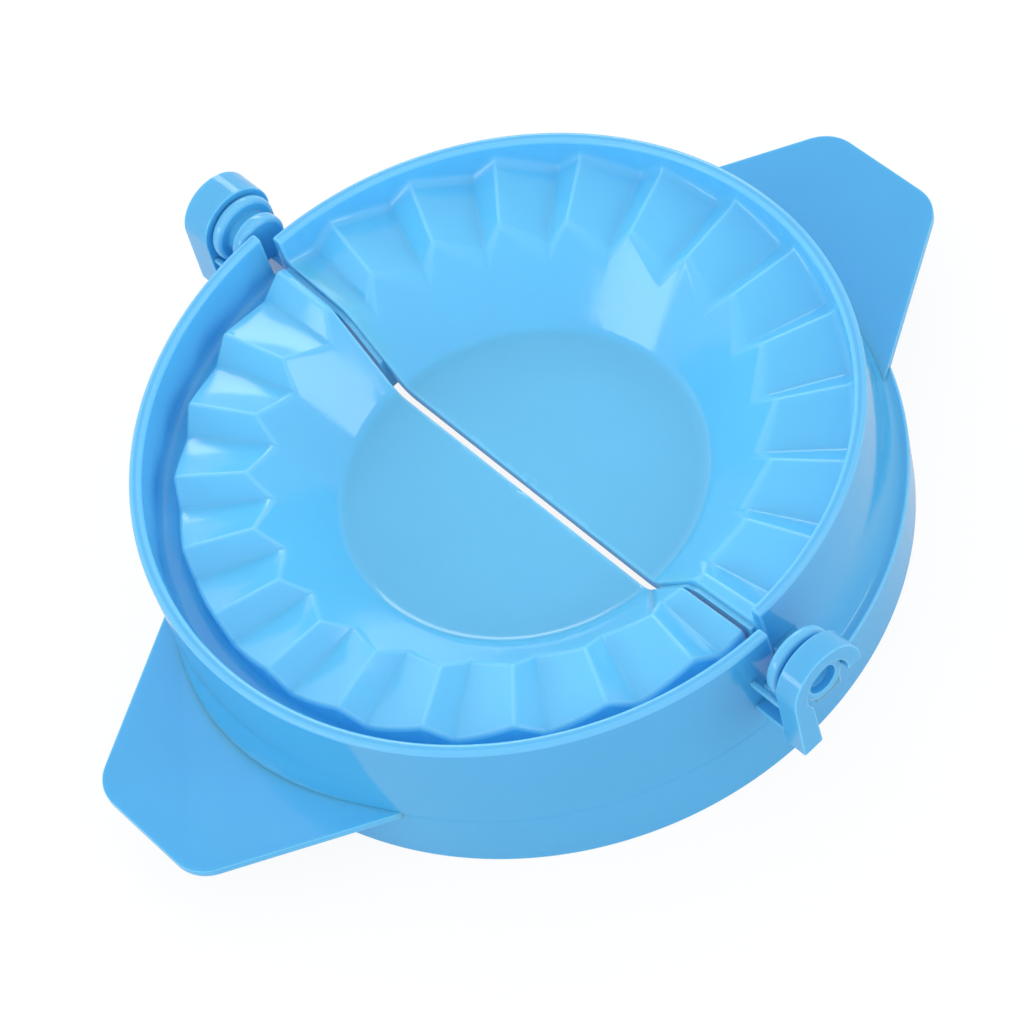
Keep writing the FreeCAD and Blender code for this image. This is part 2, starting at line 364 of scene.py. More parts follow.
@dataclass
class HalfShell:
    """Thin shell of one half: bowl, teeth, rim and skirt, lying at +Y and cut straight at the split."""

    sizes: PressSizes
    half: Half
    pattern: TeethPattern
    split_y: float
    columns_per_tooth: int = 14
    split_round: float = 0.25
    hidden_reach: float = 0.6
    hidden_drop: float = 0.3
    fillet_fade: float = 1.5
    fillet_hollow: float = 1.3
    upper: BowlSkin = field(init=False)
    lower: BowlSkin = field(init=False)

    def __post_init__(self) -> None:
        """Makes the two skins of the bowl."""
        s = self.sizes
        self.upper = BowlSkin(s, self.pattern, self.split_y)
        self.lower = BowlSkin(s, self.pattern, self.split_y, s.wall, s.skin_drop)

    @property
    def inner_r(self) -> float:
        """Radius of the rim's inner face."""
        s = self.sizes
        return (s.front_rim_r if self.half is Half.FRONT else s.back_rim_r) - s.rim_t

    def front_rows(self) -> list[Row]:
        """Section of the front half.

        Returns:
            Rows from the middle of the floor over the rim and round to its underside.
        """
        s, up, low = self.sizes, self.upper, self.lower
        end_r, edge, inner_r = s.front_teeth_r, s.tooth_end_round, s.front_rim_r - s.rim_t
        foot_r, fillet_top = s.front_rim_r + s.front_draft, s.tier_z + s.wing_fillet
        rows = up.floor_rows() + up.side_rows(end_r - edge)
        for turn in np.linspace(0, QUARTER_TURN, 4)[1:]:
            rows.append(lambda t, a=turn: (np.full_like(t, end_r - edge + edge * math.sin(a)),
                                           up.teeth_z(np.full_like(t, end_r - edge), t)
                                           - edge * (1 - math.cos(a))))
        ceiling = s.channel_z - s.wall
        under_r = end_r - s.wall
        rows += rounded_rows([
            (end_r, s.rim_height, 0), (end_r, s.channel_z, s.corner_round),
            (inner_r, s.channel_z, s.corner_round), (inner_r, s.rim_height, s.rim_round),
            (s.front_rim_r, s.rim_height, s.rim_round), (foot_r, fillet_top, 0)])
        rows += self.wing_fillet_rows(foot_r)
        rows.append(fixed_row(s.base_r, s.tier_z - 2 * s.tier_step))
        rows += rounded_rows([
            (s.base_r, s.tier_z, 0), (s.base_r, 0, s.edge_round), (s.base_r - s.wall, 0, s.edge_round),
            (s.front_rim_r - s.wall, ceiling, s.corner_round), (under_r, ceiling, s.edge_round),
            (under_r, s.rim_height, 0)])
        return rows + (low.floor_rows() + low.side_rows(under_r))[::-1]

    def wing_fillet_rows(self, wall_r: float) -> list[Row]:
        """Rows down the foot of the front wall, which flares out into the wing.

        Args:
            wall_r: Radius of the wall beside the wing.

        Returns:
            Rows from the top of the fillet to just under the top of the wing.
        """
        s = self.sizes
        limit = math.radians(s.wing_half_angle)

        def flare(theta: np.ndarray) -> np.ndarray:
            """Share of the fillet at an angle: full behind the wing and none beside it."""
            return np.clip(1 - ((theta - QUARTER_TURN) / limit) ** 2, 0, 1) ** self.fillet_fade

        rows = []
        for share in np.linspace(0, 1, 7):
            out = s.wing_fillet_reach * share ** self.fillet_hollow
            high = s.tier_z + s.wing_fillet * (1 - share)
            rows.append(lambda t, o=out, z=high: (wall_r + o * flare(t), np.full_like(t, z)))
        hidden = s.wing_fillet_reach + self.hidden_reach
        rows.append(lambda t: (wall_r + hidden * flare(t), np.full_like(t, s.tier_z - self.hidden_drop)))
        return rows

    def back_rows(self) -> list[Row]:
        """Section of the back half.

        Returns:
            Rows from the middle of the floor over the rim and round to its underside.
        """
        s, up, low = self.sizes, self.upper, self.lower
        inner_r, flare_top = s.back_rim_r - s.rim_t, s.ledge_z + s.flare_height
        flare_r = s.back_rim_r + s.wall_lean * (s.rim_height - flare_top)
        reach = s.ledge_r - 2 * s.edge_round - flare_r
        start_r = inner_r - s.rim_fillet
        rows = up.floor_rows() + up.side_rows(start_r)
        for turn in np.linspace(0, QUARTER_TURN, 6)[1:]:
            rows.append(lambda t, a=turn: (np.full_like(t, start_r + s.rim_fillet * math.sin(a)),
                                           up.teeth_z(np.full_like(t, start_r), t)
                                           + s.rim_fillet * (1 - math.cos(a))))
        under_z = s.ledge_z - s.wall
        under_r = flare_r + s.wall_lean * (flare_top - under_z) - s.wall
        top_r = s.back_rim_r - s.wall
        rows += rounded_rows([
            (inner_r, s.tier_z, 0), (inner_r, s.rim_height, s.rim_round),
            (s.back_rim_r, s.rim_height, s.rim_round), (flare_r, flare_top, 0)])
        for turn in np.linspace(0, QUARTER_TURN, 10):
            rows.append(fixed_row(flare_r + reach * (1 - math.cos(turn)),
                                  s.ledge_z + s.flare_height * (1 - math.sin(turn))))
        rows += rounded_rows([
            (flare_r, s.ledge_z, 0), (s.ledge_r, s.ledge_z, s.edge_round), (s.base_r, 0, s.edge_round),
            (s.base_r - s.wall, 0, s.edge_round), (s.base_r - s.wall, under_z, s.corner_round),
            (under_r, under_z, s.edge_round), (top_r, s.rim_height, 0)])
        return rows + (low.floor_rows() + low.side_rows(top_r))[::-1]

    def column_angles(self) -> np.ndarray:
        """Angles of the columns between the ends of the split, closer at ridges, valleys and ends.

        Returns:
            The angles in radians, from 0 to pi.
        """
        s = self.sizes
        near = s.crest_round * np.array(CREST_STEPS)
        even = np.linspace(0, 1, self.columns_per_tooth + 1)
        tooth = np.concatenate([even, near, s.drop_share + near])
        counts = (np.arange(-1, s.teeth + 1)[:, None] + tooth[None, :]).ravel()
        inner = self.pattern.angle(counts, s.pitch)
        first = s.pitch / COLUMNS_TO_END
        ends = first * np.array(END_STEPS)
        clear = END_CLEAR * first
        inner = np.sort(inner[(inner > clear) & (inner < math.pi - clear)])
        apart = np.concatenate([[True], np.diff(inner) > first / LEAST_APART])
        return np.sort(np.concatenate([ends, inner[apart], math.pi - ends]))

    def points(self) -> np.ndarray:
        """Places of all section points, swept about the middle of the split.

        Returns:
            Array of columns by rows by three, in millimetres.
        """
        rows = self.front_rows() if self.half is Half.FRONT else self.back_rows()
        gap = self.split_y
        turn = self.column_angles()
        cos, sin = np.cos(turn), np.sin(turn)
        places = np.zeros((len(turn), len(rows), 3))
        for index, row in enumerate(rows):
            radius, height = row(turn)
            reach = np.sqrt(np.maximum(radius ** 2 - (gap * cos) ** 2, 0)) - gap * sin
            places[:, index] = np.stack([reach * cos, gap + reach * sin, height], axis=-1)
        return places

    def build(self) -> BMesh:
        """Sweeps the section, rounds the split edges and closes the two cut faces.

        Returns:
            The closed shell in millimetres, at +Y.
        """
        shell = bmesh.new()
        grid = [[shell.verts.new(place) for place in column] for column in self.points()]
        for near, far in zip(grid, grid[1:]):
            for corners in zip(near, far, far[1:], near[1:]):
                shell.faces.new(corners)
        first, last = grid[0], grid[-1]
        merge = {column[pole]: first[pole] for column in grid[1:] for pole in (0, -1)}
        bmesh.ops.weld_verts(shell, targetmap=merge)
        ends = (first, [first[0], *last[1:-1], first[-1]])
        bmesh.ops.recalc_face_normals(shell, faces=shell.faces)
        self.round_split(shell)
        caps = [shell.faces.new(end) for end in ends]
        for cap in caps:
            cap.normal_update()
        bmesh.ops.triangulate(shell, faces=caps, ngon_method="EAR_CLIP")
        bmesh.ops.recalc_face_normals(shell, faces=shell.faces)
        return shell

    def round_split(self, shell: BMesh) -> None:
        """Draws the skin in beside the split, so that its edges are round.

        Args:
            shell: The open shell, whose normals point outwards.
        """
        shell.normal_update()
        edge = self.split_round
        moves = []
        for vert in shell.verts:
            away = vert.co.y - self.split_y
            if away < edge:
                drawn = edge - math.sqrt(max(0, edge ** 2 - (edge - away) ** 2))
                moves.append((vert, vert.normal * drawn))
        for vert, move in moves:
            vert.co.x -= move.x
            vert.co.z -= move.z


@dataclass
class SplitRib:
    """Upright lip under the bowl's edge at one end of the split, which closes the view through it."""

    shell: HalfShell
    end_angle: float
    start_x: float
    depth: float = 5.4
    thickness: float = 1.9
    overhang: float = 0.6
    cover: float = 0.7
    edge_round: float = 0.2

    def build(self) -> BMesh:
        """Makes the lip.

        Returns:
            The closed lip in millimetres, at the +X end.
        """
        along = np.linspace(self.start_x, self.shell.inner_r, 9)
        tops = self.shell.upper.top_z(along, np.full_like(along, self.end_angle)) - self.cover
        near_y = self.shell.split_y - self.overhang
        outline = [Vector((x, near_y, z)) for x, z in zip(along, tops)]
        outline += [Vector((p.x, near_y, p.z - self.depth)) for p in reversed(outline)]
        return prism(outline, Vector((0, self.thickness, 0)), self.edge_round, self.edge_round)


@dataclass
class Wing:
    """Flat tapered finger wing at +Y, its root inside the lower tier."""

    sizes: PressSizes
    length: float = 15.55
    tip_half: float = 8.7
    taper: float = 30.0
    corner: float = 5.0
    thickness: float = 1.0
    edge_round: float = 0.4
    root_depth: float = 1.6

    def outline(self) -> list[Vector]:
        """Outline of the wing seen from above.

        Returns:
            Points from the right root over the tip to the left root and back along the skirt.
        """
        root_r = self.sizes.base_r - self.root_depth
        reach = self.sizes.base_r + self.length
        spread = math.tan(math.radians(self.taper))
        wide = self.tip_half + spread * reach
        steep = 1 + spread ** 2
        root_y = (wide * spread + math.sqrt(root_r ** 2 * steep - wide ** 2)) / steep
        root = Vector((wide - spread * root_y, root_y))
        tip = Vector((self.tip_half, reach))
        right = [root] + corner_arc(tip, root, Vector((-self.tip_half, reach)), self.corner, 10)
        left = [Vector((-p.x, p.y)) for p in reversed(right)]
        root_turn = math.atan2(root.y, root.x)
        skirt = np.linspace(math.pi - root_turn, root_turn, 24)[1:-1]
        return right + left + [Vector((root_r * math.cos(a), root_r * math.sin(a))) for a in skirt]

    def build(self) -> BMesh:
        """Makes the plate with round edges.

        Returns:
            The closed plate in millimetres.
        """
        high = self.sizes.tier_z
        return prism([Vector((p.x, p.y, high - self.thickness)) for p in self.outline()],
                     Vector((0, 0, self.thickness)), self.edge_round, self.edge_round)


@dataclass
class HookBracket:
    """Open snap hook at +X with the leg, web and flange that tie it to the front skirt."""

    sizes: PressSizes
    near_x: float = 48.0
    width: float = 4.3
    outer_r: float = 4.88
    bore_r: float = 3.0
    free_arm_drop: float = 0.75
    lip_end: float = 32.0
    lip_drop: float = 2.6
    leg_thickness: float = 2.4
    leg_drop: float = 8.4
    leg_flare: float = 0.35
    rib_drop: float = 2.2
    rib_thickness: float = 0.7
    rib_y: float = 4.0
    web_thickness: float = 0.8
    web_y: float = 2.4
    web_top_drop: float = 4.1
    flange_drop: float = 6.6
    flange_thickness: float = 0.8
    edge_round: float = 0.5
    small_round: float = 0.2

    def outline(self) -> list[Vector]:
        """Outline of the hook seen along the hinge line, about the hinge axis.

        Returns:
            Points over the outside, down the leg, up its inside and back round the bore.
        """
        free_out = 180 + math.degrees(math.asin(self.free_arm_drop / self.outer_r))
        free_in = 180 + math.degrees(math.asin(self.free_arm_drop / self.bore_r))
        leg_in = self.outer_r - self.leg_thickness
        outside = circle_points(self.outer_r, free_out, 0, 40)
        leg = [Vector((self.outer_r + self.leg_flare, -self.leg_drop)), Vector((leg_in, -self.leg_drop)),
               Vector((leg_in, -self.lip_drop))]
        return outside + leg + circle_points(self.bore_r, -self.lip_end, free_in, 36)

    def build(self) -> BMesh:
        """Makes the hook, its web and its flange.

        Returns:
            The closed pieces in millimetres, at the +X end and on the +Y side.
        """
        axis_z = self.sizes.axis_z
        hook = prism([Vector((self.near_x, p.x, axis_z + p.y)) for p in self.outline()],
                     Vector((self.width, 0, 0)), self.small_round, self.edge_round)
        root_x, end_x = self.sizes.front_rim_r - self.sizes.wall / 2, self.near_x + self.edge_round
        rib_z, flange_z, soft = axis_z - self.rib_drop, axis_z - self.flange_drop, self.small_round
        rib = (self.rib_y, rib_z - self.rib_thickness, self.outer_r - soft, rib_z)
        web = (self.web_y, flange_z - soft, self.web_y + self.web_thickness, axis_z - self.web_top_drop)
        flange = (self.web_y, flange_z - self.flange_thickness, self.outer_r, flange_z)
        blocks = [rounded_block((root_x, near_y, low_z), (end_x, far_y, high_z), soft)
                  for near_y, low_z, far_y, high_z in (rib, web, flange)]
        return joined([hook, *blocks])


@dataclass
class PinBracket:
    """Hinge pin at +X with its disc and the arm that ties it to the back wall."""

    sizes: PressSizes
    disc_x: float = 45.7
    disc_r: float = 4.3
    disc_thickness: float = 1.5
    pin_r: float = 2.8
    pin_end: float = 52.1
    dish_r: float = 1.8
    dish_depth: float = 1.2
    arm_clear: float = 0.45
    boss_r: float = 0.0
    boss_x: float = 43.6
    boss_length: float = 1.8
    arm_height: float = 5.4
    disc_round: float = 0.6
    edge_round: float = 0.3
    seat: float = 0.08
    around: int = 64

    def build(self) -> BMesh:
        """Makes the turned pin and disc and the arm.

        Returns:
            The closed pieces in millimetres, at the +X end and on the +Y side.
        """
        s, fine = self.sizes, self.edge_round / 2
        disc_end, dish_x = self.disc_x + self.disc_thickness, self.pin_end - self.dish_depth
        line = [(self.disc_x, 0, 0)]
        if self.boss_r:
            boss_end = self.boss_x + self.boss_length
            line = [(self.boss_x, 0, 0), (self.boss_x, self.boss_r, self.disc_round),
                    (boss_end, self.boss_r, self.disc_round), (boss_end, self.pin_r, fine),
                    (self.disc_x, self.pin_r, fine)]
        line += [(self.disc_x, self.disc_r, self.disc_round),
                 (disc_end, self.disc_r, self.disc_round), (disc_end, self.pin_r, fine),
                 (self.pin_end, self.pin_r, self.edge_round), (self.pin_end, self.dish_r, fine),
                 (dish_x, self.dish_r, self.edge_round), (dish_x, 0, 0)]
        turned = turned_about_hinge(line, s.axis_z, self.around)
        near_y = s.split_gap / 2
        arm_top = s.axis_z - s.axis_drop - self.arm_clear
        arm = rounded_block((s.back_rim_r, near_y, arm_top - self.arm_height),
                            (disc_end, self.disc_r, arm_top), self.edge_round)
        tail_z = arm_top - self.arm_height + self.seat
        tail = rounded_block((self.disc_x + self.seat, near_y + self.seat, tail_z),
                             (disc_end - self.seat, self.disc_r - self.seat, s.axis_z), self.edge_round)
        return joined([turned, arm, tail])


def corner_arc(corner: Vector, start: Vector, end: Vector, radius: float, steps: int) -> list[Vector]:
    """Points round one corner of a flat outline.

    Args:
        corner: The sharp corner.
        start: A point on the line that comes in.
        end: A point on the line that goes out.
        radius: Rounding of the corner.
        steps: Number of chords of the arc.

    Returns:
        Points from the line that comes in to the line that goes out.
    """
    back = (start - corner).normalized()
    ahead = (end - corner).normalized()
    half = back.angle(ahead) / 2
    middle = corner + (back + ahead).normalized() * (radius / math.sin(half))
    first = corner + back * (radius / math.tan(half)) - middle
    last = corner + ahead * (radius / math.tan(half)) - middle
    sweep = first.angle_signed(last)
    return [middle + Matrix.Rotation(-sweep * step / steps, 2) @ first for step in range(steps + 1)]


def rounded_line(corners: list[Triple], steps: int = 4) -> list[Vector]:
    """Points round the inner corners of a line; its first and last points only give directions.

    Args:
        corners: Two coordinates and the rounding of each corner.
        steps: Number of chords of each arc.

    Returns:
        The points in order.
    """
    flat = [Vector(c[:2]) for c in corners]
    line = []
    for before, here, after, corner in zip(flat, flat[1:], flat[2:], corners[1:]):
        line += corner_arc(here, before, after, corner[2], steps)
    return line


def circle_points(radius: float, start: float, end: float, steps: int) -> list[Vector]:
    """Points along an arc about the origin, from one angle to another in degrees."""
    turns = np.radians(np.linspace(start, end, steps + 1))
    return [Vector((radius * math.cos(a), radius * math.sin(a))) for a in turns]


def prism(outline: list[Vector], along: Vector, near_round: float, far_round: float,
          corner_angle: float = 35.0) -> BMesh:
    """Straight prism with round edges on both end faces and at the corners of its outline.

    Args:
        outline: Corners of the near end face.
        along: From the near end face to the far one.
        near_round: Rounding of the near end's edges.
        far_round: Rounding of the far end's edges.
        corner_angle: Turn of the outline, in degrees, from which a corner is rounded too.

    Returns:
        The closed prism.
    """
    solid = bmesh.new()
    near = [solid.verts.new(p) for p in outline]
    far = [solid.verts.new(p + along) for p in outline]
    solid.faces.new(near)
    solid.faces.new(far)
    walls = zip(near, near[1:] + near[:1], far[1:] + far[:1], far)
    sides = [solid.faces.new(corners) for corners in walls]
    bmesh.ops.recalc_face_normals(solid, faces=solid.faces)
    corners = [e for e in solid.edges if all(f in sides for f in e.link_faces)
               and e.calc_face_angle() > math.radians(corner_angle)]
    if corners:
        round_edges(solid, corners, min(near_round, far_round))
    way = along.normalized()
    for end_point, radius in ((outline[0], near_round), (outline[0] + along, far_round)):
        level = way.dot(end_point)
        rim = [e for e in solid.edges if all(abs(way.dot(v.co) - level) < 1e-5 for v in e.verts)]
        round_edges(solid, rim, radius)
    return solid


def round_edges(solid: BMesh, edges: list[bmesh.types.BMEdge], radius: float) -> None:
    """Rounds edges of a closed solid with three chords."""
    bmesh.ops.bevel(solid, geom=edges, offset=radius, offset_type="OFFSET", segments=3, profile=0.5,
                    affect="EDGES", clamp_overlap=True)


def rounded_block(low: Triple, high: Triple, radius: float) -> BMesh:
    """Upright block with all its edges rounded.

    Args:
        low: Lowest corner.
        high: Highest corner.
        radius: Rounding of the edges.

    Returns:
        The closed block.
    """
    solid = bmesh.new()
    size = Vector(high) - Vector(low)
    place = Matrix.Translation((Vector(low) + Vector(high)) / 2) @ Matrix.Diagonal((*size, 1))
    bmesh.ops.create_cube(solid, size=1, matrix=place)
    round_edges(solid, list(solid.edges), radius)
    return solid


def turned_about_hinge(line: list[Triple], axis_z: float, around: int) -> BMesh:
    """Solid turned about the hinge axis.

    Args:
        line: Place along the axis, radius and rounding of each corner, from axis to axis.
        axis_z: Height of the hinge axis.
        around: Number of columns.

    Returns:
        The closed solid.
    """
    path = [Vector(line[0][:2]), *rounded_line(line), Vector(line[-1][:2])]
    solid = bmesh.new()
    verts = [solid.verts.new((p.x, p.y, axis_z)) for p in path]
    edges = [solid.edges.new(pair) for pair in zip(verts, verts[1:])]
    bmesh.ops.spin(solid, geom=verts + edges, cent=(0, 0, axis_z), axis=(1, 0, 0), angle=2 * math.pi,
                   steps=around, use_merge=True)
    bmesh.ops.remove_doubles(solid, verts=solid.verts, dist=1e-5)
    bmesh.ops.recalc_face_normals(solid, faces=solid.faces)
    return solid


def joined(parts: Iterable[BMesh], place: Matrix | None = None) -> BMesh:
    """Puts several closed meshes into one and frees them.

    Args:
        parts: The meshes.
        place: Where the result is moved to, if anywhere.

    Returns:
        One mesh that holds them all.
    """
    whole = bmesh.new()
    for part in parts:
        carrier = bpy.data.meshes.new("carrier")
        part.to_mesh(carrier)
        part.free()
        whole.from_mesh(carrier)
        bpy.data.meshes.remove(carrier)
    if place is not None:
        bmesh.ops.transform(whole, matrix=place, verts=whole.verts)
        bmesh.ops.recalc_face_normals(whole, faces=whole.faces)
    return whole


@dataclass
class Moulding:
    """One half of the press as a single moulded piece."""

    half: Half
    shell: HalfShell
    wing: Wing
    near_end: tuple[HookBracket | PinBracket | SplitRib, ...]
    far_end: tuple[HookBracket | PinBracket | SplitRib, ...]
    slot: str
    sharp_angle: float = 40.0
    mark_soft: float = 0.6
    piece: bpy.types.Object | None = None

    def build(self) -> None:
        """Builds the half's mesh, puts it on its body and hides the plain solid."""
        turn = Matrix.Rotation(math.pi if self.half is Half.FRONT else 0.0, 4, "Z")
        near = [piece.build() for piece in self.near_end]
        far = joined([piece.build() for piece in self.far_end], Matrix.Scale(-1, 4, Vector((1, 0, 0))))
        parts = [self.shell.build(), self.wing.build(), *near, far]
        whole = joined(parts, Matrix.Scale(MM, 4) @ turn)
        mesh = bpy.data.meshes.new(self.half.value + "_moulding")
        whole.to_mesh(mesh)
        whole.free()
        mesh.shade_smooth()
        mesh.set_sharp_from_angle(angle=math.radians(self.sharp_angle))
        # Painted highlight: faces bent sharply outwards are marked to take a paler colour.
        mark_painted_edge_highlights(mesh)
        # Painted light: the bowl's inside is marked to take a brighter copy of the outside colour.
        mark_inside(mesh, BOWL_LIGHT_ATTRIBUTE, self.shell.inner_r, self.mark_soft)
        # Painted light: the bowl's floor is marked to take its own brighter copy of the outside colour.
        mark_inside(mesh, FLOOR_LIGHT_ATTRIBUTE, self.shell.sizes.floor_r, self.mark_soft)
        self.piece = bpy.data.objects.new(mesh.name, mesh)
        bpy.context.scene.collection.objects.link(self.piece)
        smooth = self.piece.modifiers.new("even_shading", "WEIGHTED_NORMAL")
        smooth.keep_sharp = True
        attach(self.piece, self.half.value)
        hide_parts(self.half.value)
        LOG.info("%s: %d faces", self.piece.name, len(mesh.polygons))

    def dress(self, finish: "SkyPlastic") -> None:
        """Gives the piece its finish."""
        self.piece.data.materials.append(finish.material(self.slot))


def mark_painted_edge_highlights(mesh: bpy.types.Mesh, full_bend: float = 1.2) -> None:
    """Marks how sharply the skin bends outwards at each face, for a painted highlight that makes sharp
    outward edges paler.

    Args:
        mesh: The mesh to mark, in metres.
        full_bend: Bend, per millimetre, that counts as a full edge.
    """
    skin = bmesh.new()
    skin.from_mesh(mesh)
    shares = []
    for face in skin.faces:
        bend = sum(edge.calc_face_angle_signed(0.0) * edge.calc_length() for edge in face.edges) / 2
        shares.append(min(max(bend * MM / max(face.calc_area(), MM ** 4) / full_bend, 0.0), 1.0))
    skin.free()
    mark = mesh.attributes.new(HIGHLIGHT_ATTRIBUTE, "FLOAT", "FACE")
    mark.data.foreach_set("value", np.array(shares, dtype=np.float32))


def mark_inside(mesh: bpy.types.Mesh, name: str, limit_r: float, soft: float) -> None:
    """Marks the points within a radius of the bowl's axis.

    Args:
        mesh: The mesh to mark, in metres.
        name: Name of the new attribute.
        limit_r: Radius where the mark begins to fade, in millimetres.
        soft: Width over which it fades, in millimetres.
    """
    places = np.zeros(len(mesh.vertices) * 3)
    mesh.vertices.foreach_get("co", places)
    places = places.reshape(-1, 3) / MM
    radius = np.hypot(places[:, 0], places[:, 1])
    share = np.clip((limit_r + soft - radius) / soft, 0, 1)
    mark = mesh.attributes.new(name, "FLOAT", "POINT")
    mark.data.foreach_set("value", share.astype(np.float32))


def mixed(tree: Tree, share: Socket, first: Socket, second: Socket) -> Socket:
    """Mixes two colours by a share.

    Args:
        tree: Node tree that takes the new node.
        share: How much of the second colour is taken.
        first: Colour at share 0.
        second: Colour at share 1.

    Returns:
        The mixed colour.
    """
    mix = tree.nodes.new("ShaderNodeMix")
    mix.data_type = "RGBA"
    tree.links.new(share, mix.inputs["Factor"])
    tree.links.new(first, mix.inputs[6])
    tree.links.new(second, mix.inputs[7])
    return mix.outputs[2]


def scaled(tree: Tree, value: Socket, low: float, high: float) -> Socket:
    """Maps a value from 0 to 1 onto another range.

    Args:
        tree: Node tree that takes the new node.
        value: The value.
        low: Result at 0.
        high: Result at 1.

    Returns:
        The mapped value.
    """
    node = tree.nodes.new("ShaderNodeMapRange")
    node.inputs["To Min"].default_value = low
    node.inputs["To Max"].default_value = high
    tree.links.new(value, node.inputs["Value"])
    return node.outputs["Result"]


def marked(tree: Tree, name: str) -> Socket:
    """Reads one of the mesh's marks.

    Args:
        tree: Node tree that takes the new node.
        name: Name of the attribute.

    Returns:
        The mark's value.
    """
    mark = tree.nodes.new("ShaderNodeAttribute")
    mark.attribute_name = name
    return mark.outputs["Fac"]


@dataclass(frozen=True)
class SkyPlastic:
    """Semi-gloss sky-blue moulded plastic with faint flow marks, painted light that makes the bowl's
    side and floor brighter than the outside, and a painted highlight along sharply bent edges.
    """

    base: Triple = (0.063, 0.4, 0.74)
    # Painted light: brighter copy of the outside colour for the bowl's side.
    bowl: Triple = (0.122, 0.55, 0.89)
    # Painted light on the bowl's floor: brighter than the outside, darker than the bowl's side.
    floor: Triple = (0.118, 0.5, 0.79)
    # Paler colour of the painted highlight on sharply bent edges.
    highlight_tint: Triple = (0.20, 0.60, 0.92)
    detail_scale: float = 60.0
    shade: tuple[float, float] = (0.94, 1.05)
    gloss: tuple[float, float] = (0.09, 0.14)
    # How far the painted highlight goes towards its paler colour.
    highlight_share: float = 0.5
    grain_ratio: float = 4.0
    bump: float = 0.4
    bump_height: float = 0.05
    ior: float = 1.49
    glow_through: float = 0.4
    glow_reach: float = 1.5

    def surface_group(self) -> Tree:
        """Shared group of colour, roughness and fine height; its colour holds painted light in the bowl
        and a painted highlight along sharp edges.

        Returns:
            The node group, made once.
        """
        name = "moulded_plastic_surface"
        if name in bpy.data.node_groups:
            return bpy.data.node_groups[name]
        tree = bpy.data.node_groups.new(name, "ShaderNodeTree")
        for channel in Channel:
            kind = "NodeSocketColor" if "Colour" in channel.value else "NodeSocketFloat"
            way = "OUTPUT" if channel in (Channel.COLOUR, Channel.ROUGHNESS, Channel.HEIGHT) else "INPUT"
            tree.interface.new_socket(channel.value, in_out=way, socket_type=kind)
        nodes, links = tree.nodes, tree.links
        given = nodes.new("NodeGroupInput").outputs
        result = nodes.new("NodeGroupOutput").inputs
        place = nodes.new("ShaderNodeTexCoord")
        finer = nodes.new("ShaderNodeMath")
        finer.operation = "MULTIPLY"
        finer.inputs[1].default_value = self.grain_ratio
        links.new(given[Channel.SCALE.value], finer.inputs[0])
        fields = []
        for scale, detail in ((given[Channel.SCALE.value], 3), (finer.outputs["Value"], 2)):
            noise = nodes.new("ShaderNodeTexNoise")
            noise.inputs["Detail"].default_value = detail
            links.new(place.outputs["Object"], noise.inputs["Vector"])
            links.new(scale, noise.inputs["Scale"])
            fields.append(noise.outputs["Fac"])
        flow, grain = fields
        # Painted light: the bowl's side takes a brighter colour than the outside.
        side = mixed(tree, marked(tree, BOWL_LIGHT_ATTRIBUTE), given[Channel.BASE.value],
                          given[Channel.BOWL.value])
        # Painted light: the bowl's floor takes its own colour, brighter than the outside and darker than
        # the side.
        flat = mixed(tree, marked(tree, FLOOR_LIGHT_ATTRIBUTE), side, given[Channel.FLOOR.value])
        tone = nodes.new("ShaderNodeMix")
        tone.data_type = "RGBA"
        tone.blend_type = "MULTIPLY"
        tone.inputs["Factor"].default_value = 1.0
        links.new(flat, tone.inputs[6])
        links.new(scaled(tree, flow, *self.shade), tone.inputs[7])
        # Painted highlight: sharply bent faces are mixed towards the paler highlight colour.
        pale = scaled(tree, marked(tree, HIGHLIGHT_ATTRIBUTE), 0, self.highlight_share)
        colour = mixed(tree, pale, tone.outputs[2], given[Channel.THIN.value])
        links.new(colour, result[Channel.COLOUR.value])
        links.new(scaled(tree, flow, *self.gloss), result[Channel.ROUGHNESS.value])
        links.new(grain, result[Channel.HEIGHT.value])
        return tree

    def material(self, name: str) -> bpy.types.Material:
        """The finish as a material.

        Args:
            name: Name of the material slot.

        Returns:
            The material.
        """
        material = bpy.data.materials.new(name)
        material.use_nodes = True
        nodes, links = material.node_tree.nodes, material.node_tree.links
        shader = nodes["Principled BSDF"]
        shader.inputs["IOR"].default_value = self.ior
        shader.inputs["Subsurface Weight"].default_value = self.glow_through
        shader.inputs["Subsurface Radius"].default_value = (1, 1, 1)
        shader.inputs["Subsurface Scale"].default_value = self.glow_reach * MM
        surface = nodes.new("ShaderNodeGroup")
        surface.node_tree = self.surface_group()
        for channel, colour in ((Channel.BASE, self.base), (Channel.BOWL, self.bowl),
                                (Channel.FLOOR, self.floor), (Channel.THIN, self.highlight_tint)):
            surface.inputs[channel.value].default_value = (*colour, 1)
        surface.inputs[Channel.SCALE.value].default_value = self.detail_scale
        links.new(surface.outputs[Channel.COLOUR.value], shader.inputs["Base Color"])
        links.new(surface.outputs[Channel.ROUGHNESS.value], shader.inputs["Roughness"])
        bump = nodes.new("ShaderNodeBump")
        bump.inputs["Strength"].default_value = self.bump
        bump.inputs["Distance"].default_value = self.bump_height * MM
        links.new(surface.outputs[Channel.HEIGHT.value], bump.inputs["Height"])
        links.new(bump.outputs["Normal"], shader.inputs["Normal"])
        return material


